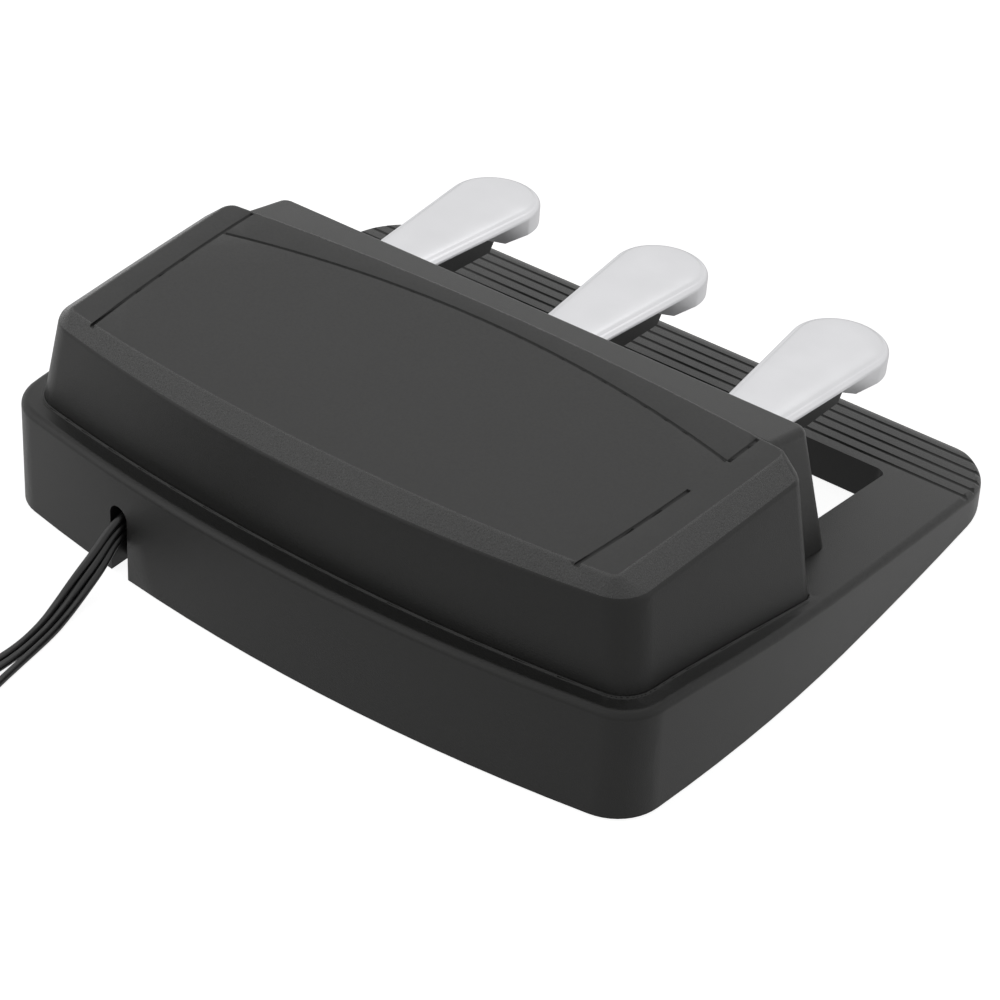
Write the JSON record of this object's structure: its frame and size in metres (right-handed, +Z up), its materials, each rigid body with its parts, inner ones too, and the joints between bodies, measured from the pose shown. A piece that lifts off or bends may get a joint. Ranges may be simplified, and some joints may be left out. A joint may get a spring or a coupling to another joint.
{
  "type": "piano pedal unit",
  "caption": "Floor-standing pedal unit for a digital piano: sprung pedals over a ribbed bar, moulded wedge base and housing, rotary sensors, plug-in cords.",
  "frame": {"origin": "on the floor, under the middle of the unit without its cords", "axes": "+Z up, -Y towards the player (pedal tips), +X to the player's right"},
  "size_m": [0.3257, 0.4811, 0.0876],
  "materials": {
    "case_plastic": "fine grained black",
    "satin_metal": "satin silver",
    "lever_plastic": "black",
    "bush_plastic": "natural white",
    "sensor_plastic": "dark blue",
    "spring_steel": "bright wire",
    "zinc_steel": "zinc plated",
    "plate_steel": "black coated",
    "shaft_steel": "ground",
    "board": "green solder mask",
    "stop_felt": "felt",
    "foot_rubber": "black",
    "cord_rubber": "black sheath",
    "plug_plastic": "black moulded"
  },
  "bodies": {
    "base": {"base_case": "case_plastic", "board_screw_1": "zinc_steel", "board_screw_2": "zinc_steel", "bottom_plate": "plate_steel", "bracket_screw_1": "zinc_steel", "bracket_screw_2": "zinc_steel", "cable_clamp": "case_plastic", "circuit_board": "board", "clamp_screw": "zinc_steel", "coil_left": "cord_rubber", "coil_middle": "cord_rubber", "coil_right": "cord_rubber", "cord_left": "cord_rubber", "cord_middle": "cord_rubber", "cord_right": "cord_rubber", "cover_screw_1": "zinc_steel", "cover_screw_2": "zinc_steel", "foot_1": "foot_rubber", "foot_2": "foot_rubber", "foot_3": "foot_rubber", "foot_4": "foot_rubber", "front_cover": "case_plastic", "housing_screw_1": "zinc_steel", "housing_screw_2": "zinc_steel", "lower_stop": "stop_felt", "main_housing": "case_plastic", "pivot_bracket": "plate_steel", "pivot_shaft": "shaft_steel", "plate_screw_1": "zinc_steel", "plate_screw_2": "zinc_steel", "plate_screw_3": "zinc_steel", "plate_screw_4": "zinc_steel", "plug_left": "plug_plastic", "plug_middle": "plug_plastic", "plug_right": "plug_plastic", "sensor_centre": "sensor_plastic", "sensor_left": "sensor_plastic", "sensor_right": "sensor_plastic", "shaft_clip_left": "zinc_steel", "shaft_clip_right": "zinc_steel", "spring_centre": "spring_steel", "spring_left": "spring_steel", "spring_right": "spring_steel", "upper_stop": "stop_felt"},
    "pedal_left": {"blade_left": "satin_metal", "lever_left": "lever_plastic", "bush_left": "bush_plastic", "blade_screw_left": "zinc_steel"},
    "sensor_follower_left": {"sensor_arm_left": "bush_plastic"},
    "pedal_centre": {"blade_centre": "satin_metal", "lever_centre": "lever_plastic", "bush_centre": "bush_plastic", "blade_screw_centre": "zinc_steel"},
    "sensor_follower_centre": {"sensor_arm_centre": "bush_plastic"},
    "pedal_right": {"blade_right": "satin_metal", "lever_right": "lever_plastic", "bush_right": "bush_plastic", "blade_screw_right": "zinc_steel"},
    "sensor_follower_right": {"sensor_arm_right": "bush_plastic"}
  },
  "joints": [
    {"name": "pedal_left_hinge", "type": "hinge", "parent": "base", "child": "pedal_left", "pos_m": [-0.084, 0.062, 0.05], "axis": [1, 0, 0], "range_deg": [0, 7], "stiffness_Nm_per_rad": 13, "springref_deg": -8.02, "deforming": ["spring_left"]},
    {"name": "pedal_centre_hinge", "type": "hinge", "parent": "base", "child": "pedal_centre", "pos_m": [0, 0.062, 0.05], "axis": [1, 0, 0], "range_deg": [0, 7], "stiffness_Nm_per_rad": 13, "springref_deg": -8.02, "deforming": ["spring_centre"]},
    {"name": "pedal_right_hinge", "type": "hinge", "parent": "base", "child": "pedal_right", "pos_m": [0.084, 0.062, 0.05], "axis": [1, 0, 0], "range_deg": [0, 7], "stiffness_Nm_per_rad": 13, "springref_deg": -8.02, "deforming": ["spring_right"]},
    {"name": "sensor_left_hinge", "type": "hinge", "parent": "base", "child": "sensor_follower_left", "pos_m": [-0.0695, 0.09, 0.05], "axis": [1, 0, 0], "range_deg": [-7.5, 0.5]},
    {"name": "sensor_centre_hinge", "type": "hinge", "parent": "base", "child": "sensor_follower_centre", "pos_m": [0.0145, 0.09, 0.05], "axis": [1, 0, 0], "range_deg": [-7.5, 0.5]},
    {"name": "sensor_right_hinge", "type": "hinge", "parent": "base", "child": "sensor_follower_right", "pos_m": [0.0985, 0.09, 0.05], "axis": [1, 0, 0], "range_deg": [-7.5, 0.5]}
  ],
  "couplings": [
    {"joint": "sensor_left_hinge", "follows": "pedal_left_hinge", "ratio": -1},
    {"joint": "sensor_centre_hinge", "follows": "pedal_centre_hinge", "ratio": -1},
    {"joint": "sensor_right_hinge", "follows": "pedal_right_hinge", "ratio": -1}
  ]
}
